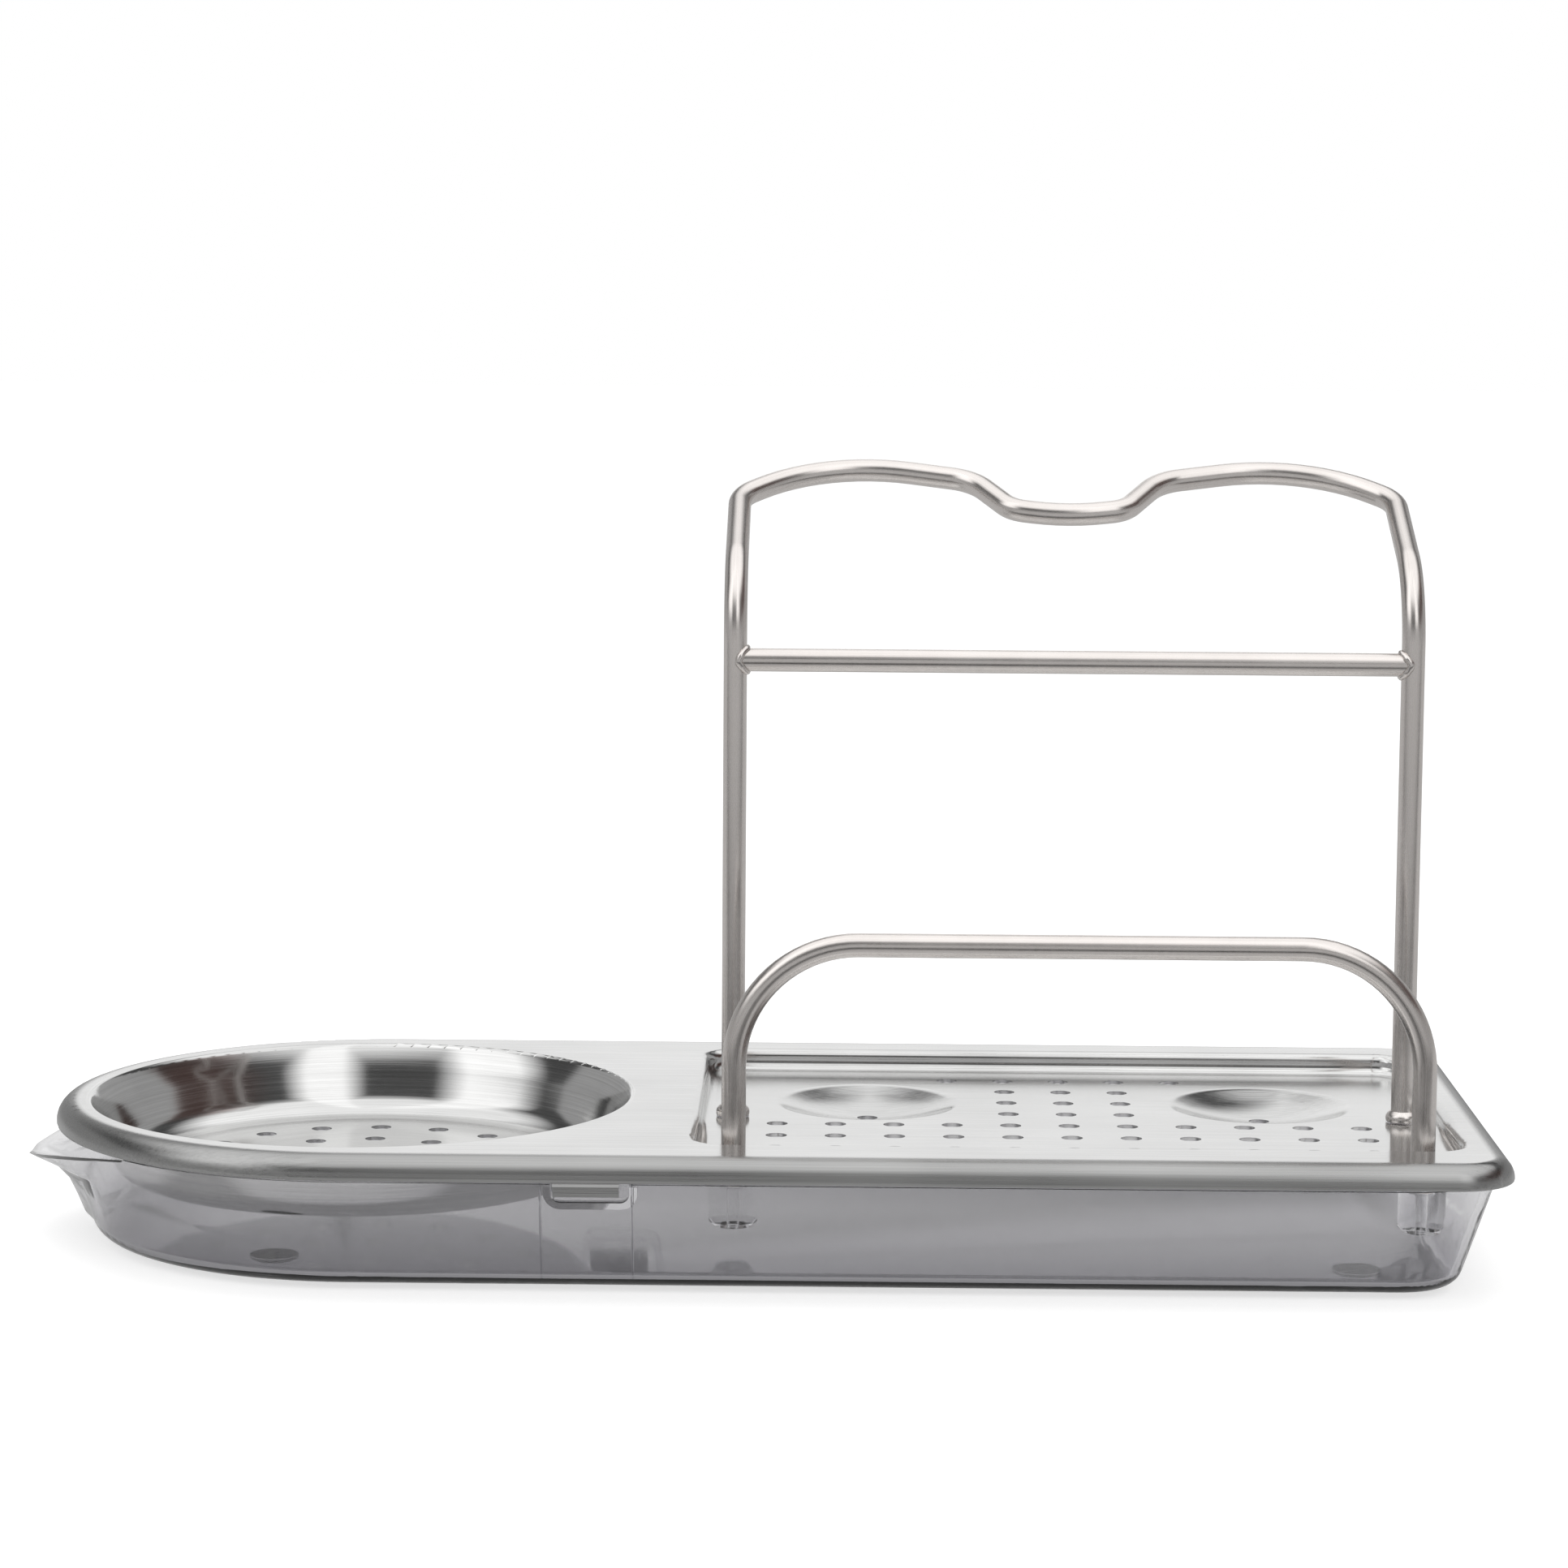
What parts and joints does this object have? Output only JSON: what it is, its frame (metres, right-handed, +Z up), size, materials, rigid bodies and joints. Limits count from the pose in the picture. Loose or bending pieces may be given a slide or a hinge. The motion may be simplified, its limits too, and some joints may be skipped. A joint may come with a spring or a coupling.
{
  "type": "sink caddy",
  "caption": "Sink caddy: a clear drip dish with a pouring spout under a pressed steel tray with a round bowl, a tall lift-out rod rack for brushes and cloths and a low rod divider for sponges.",
  "frame": {"origin": "on the surface the caddy stands on, at the middle of the bottom of its bounding box", "axes": "+X runs along the caddy from the round end with the spout to the square end, +Y is the back, where the tall rack leans, +Z is up"},
  "size_m": [0.312, 0.136, 0.1645],
  "materials": {
    "smoke_plastic": "clear moulded plastic with a light smoke tint, glossy",
    "foot_rubber": "soft pale grey silicone, satin",
    "tray_steel": "satin stainless sheet, brushed along its length and round its bowl",
    "socket_plastic": "clear moulded plastic with a faint grey tint",
    "rod_steel": "brushed stainless rod"
  },
  "bodies": {
    "dish": {"drip_dish": "smoke_plastic", "foot_round_front": "foot_rubber", "foot_round_back": "foot_rubber", "foot_square_front": "foot_rubber", "foot_square_back": "foot_rubber"},
    "tray": {"steel_tray": "tray_steel", "rack_socket_left": "socket_plastic", "rack_socket_right": "socket_plastic", "divider_socket_left": "socket_plastic", "divider_socket_right": "socket_plastic"},
    "rack": {"rack_loop": "rod_steel", "rack_crossbar": "rod_steel", "rack_collar_left": "rod_steel", "rack_collar_right": "rod_steel"},
    "divider": {"divider_loop": "rod_steel", "divider_collar_left": "rod_steel", "divider_collar_right": "rod_steel"}
  },
  "joints": [
    {"name": "tray_lift", "type": "slide", "parent": "dish", "child": "tray", "axis": [0, 0, 1], "range_m": [0, 0.04]},
    {"name": "rack_lift", "type": "slide", "parent": "tray", "child": "rack", "axis": [0, 0, 1], "range_m": [0, 0.03]},
    {"name": "divider_lift", "type": "slide", "parent": "tray", "child": "divider", "axis": [0, 0, 1], "range_m": [0, 0.03]}
  ]
}
